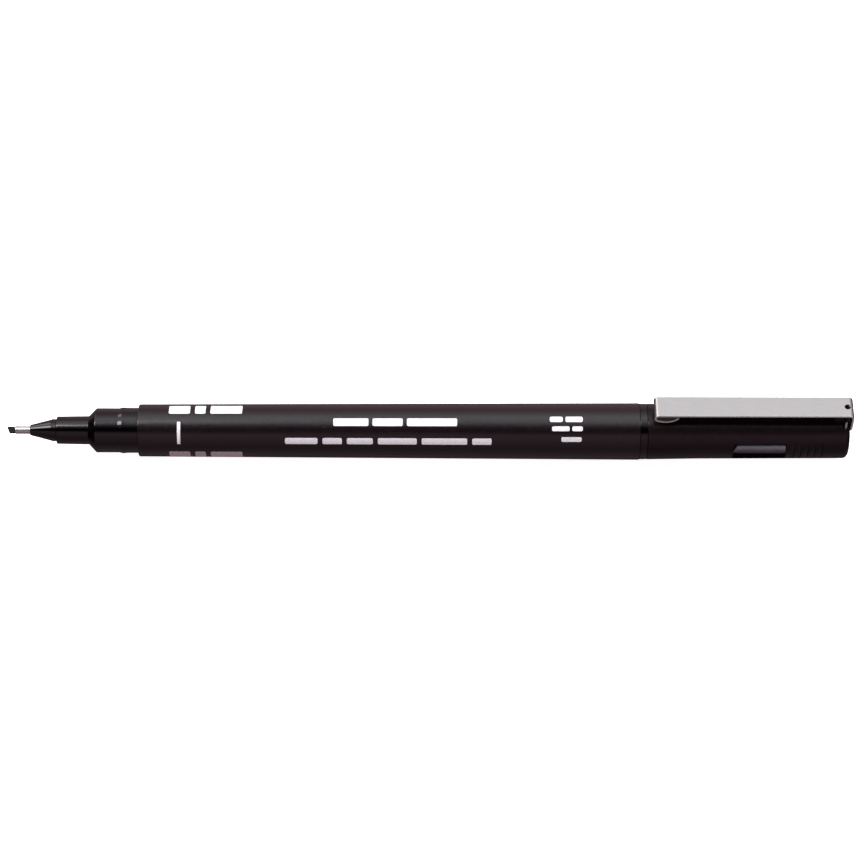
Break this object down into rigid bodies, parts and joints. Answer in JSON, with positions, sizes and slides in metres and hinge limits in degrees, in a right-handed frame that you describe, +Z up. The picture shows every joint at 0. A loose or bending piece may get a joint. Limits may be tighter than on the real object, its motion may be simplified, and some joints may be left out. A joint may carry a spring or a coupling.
{
  "type": "calligraphy marker",
  "caption": "Slim round chisel-tip calligraphy marker with a metal ferrule, stepped front section, and a pocket cap with a bent steel clip posted on its tail.",
  "frame": {"origin": "on the surface the barrel lies on, under the middle of the pen's length", "axes": "+X along the pen from the nib to the posted cap, +Z up to the clip"},
  "size_m": [0.155, 0.0104, 0.0132],
  "materials": {
    "nib": "inked acrylic fibre",
    "ferrule": "polished steel pipe",
    "gloss_black": "gloss",
    "satin_black": "satin",
    "cap_black": "satin",
    "clip_steel": "satin spring steel",
    "wick_fibre": "inked fibre",
    "reservoir_fibre": "inked fibre",
    "film": "clear film",
    "liner": "moulded"
  },
  "bodies": {
    "pen": {"nib": "nib", "ferrule": "ferrule", "nib_holder": "gloss_black", "section": "gloss_black", "feed_wick": "wick_fibre", "ink_reservoir": "reservoir_fibre", "reservoir_wrapper": "film", "barrel": "satin_black", "tail_plug": "gloss_black"},
    "cap_liner": {"inner_cap": "liner"},
    "cap": {"cap": "cap_black"},
    "clip": {"clip": "clip_steel"}
  },
  "joints": [
    {"name": "cap_pull", "type": "slide", "parent": "pen", "child": "cap_liner", "axis": [1, 0, 0], "range_m": [0, 0.02]},
    {"name": "cap_turn", "type": "hinge", "parent": "cap_liner", "child": "cap", "pos_m": [0.0402, 0, 0.00522], "axis": [1, 0, 0], "continuous": true},
    {"name": "clip_flex", "type": "hinge", "parent": "cap", "child": "clip", "pos_m": [0.07673, 0, 0.00927], "axis": [0, 1, 0], "range_deg": [0, 4], "stiffness_Nm_per_rad": 0.5}
  ]
}
